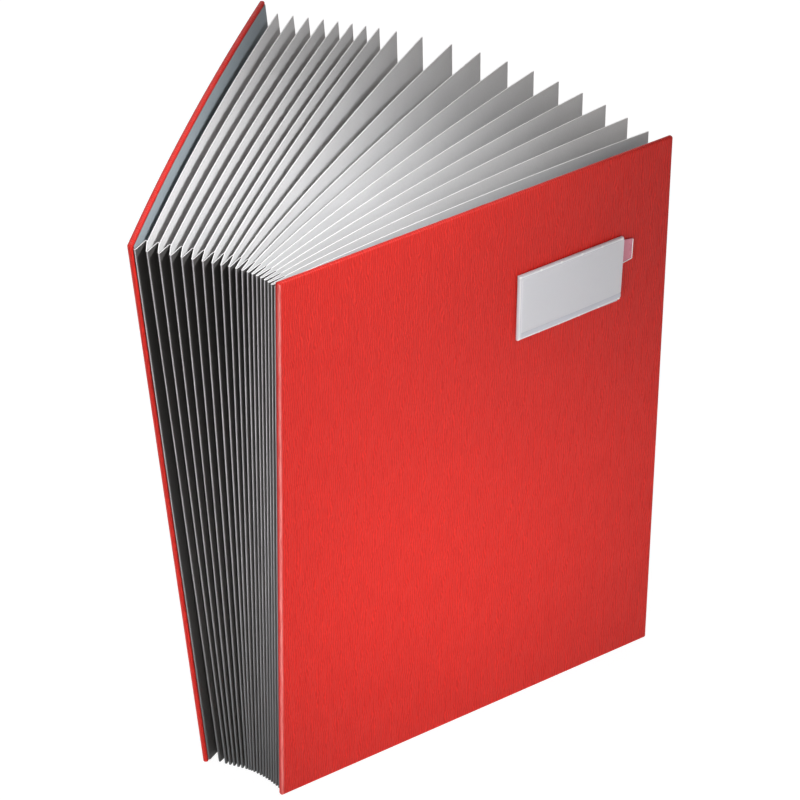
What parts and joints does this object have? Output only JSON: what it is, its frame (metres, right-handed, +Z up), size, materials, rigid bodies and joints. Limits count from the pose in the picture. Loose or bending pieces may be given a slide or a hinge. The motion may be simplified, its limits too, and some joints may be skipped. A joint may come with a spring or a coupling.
{
  "type": "signature book",
  "caption": "Signature book with wrapped board covers and stiff card leaves hung in a concertina spine, standing fanned open, with a label holder on the front cover.",
  "frame": {"origin": "middle of the front cover's standing edge, halfway through the cover", "axes": "+Z up along the covers' height, -Y out of the front cover's outer face, +X from the spine edge to the fore-edge of the front cover"},
  "size_m": [0.2914, 0.2397, 0.34],
  "materials": {
    "red_leatherette": "grained leatherette, satin",
    "grey_board": "matte",
    "grey_paper": "matte",
    "grey_card": "smooth matte card, white at its cut edges",
    "black_card": "smooth satin, pale along its outer folds",
    "clear_plastic": "clear, slightly frosted",
    "white_card": "matte"
  },
  "bodies": {
    "book_block": {"concertina_spine": "black_card", "leaf_01": "grey_card", "leaf_02": "grey_card", "leaf_03": "grey_card", "leaf_04": "grey_card", "leaf_05": "grey_card", "leaf_06": "grey_card", "leaf_07": "grey_card", "leaf_08": "grey_card", "leaf_09": "grey_card", "leaf_10": "grey_card", "leaf_11": "grey_card", "leaf_12": "grey_card", "leaf_13": "grey_card", "leaf_14": "grey_card", "leaf_15": "grey_card", "leaf_16": "grey_card", "leaf_17": "grey_card", "leaf_18": "grey_card", "leaf_19": "grey_card"},
    "front_cover": {"front_cover_wrap": "red_leatherette", "front_cover_board": "grey_board", "front_cover_lining": "grey_paper", "label_holder": "clear_plastic", "label_card": "white_card"},
    "back_cover": {"back_cover_wrap": "red_leatherette", "back_cover_board": "grey_board", "back_cover_lining": "grey_paper"}
  },
  "joints": [
    {"name": "front_cover_hinge", "type": "hinge", "parent": "book_block", "child": "front_cover", "pos_m": [-0.124, 0.00145, 0.17], "axis": [0, 0, 1], "range_deg": [-160, 0]},
    {"name": "back_cover_hinge", "type": "hinge", "parent": "book_block", "child": "back_cover", "pos_m": [-0.1544, 0.05671, 0.16963], "axis": [-0.068, 0.0771, 0.9947], "range_deg": [0, 160]}
  ]
}
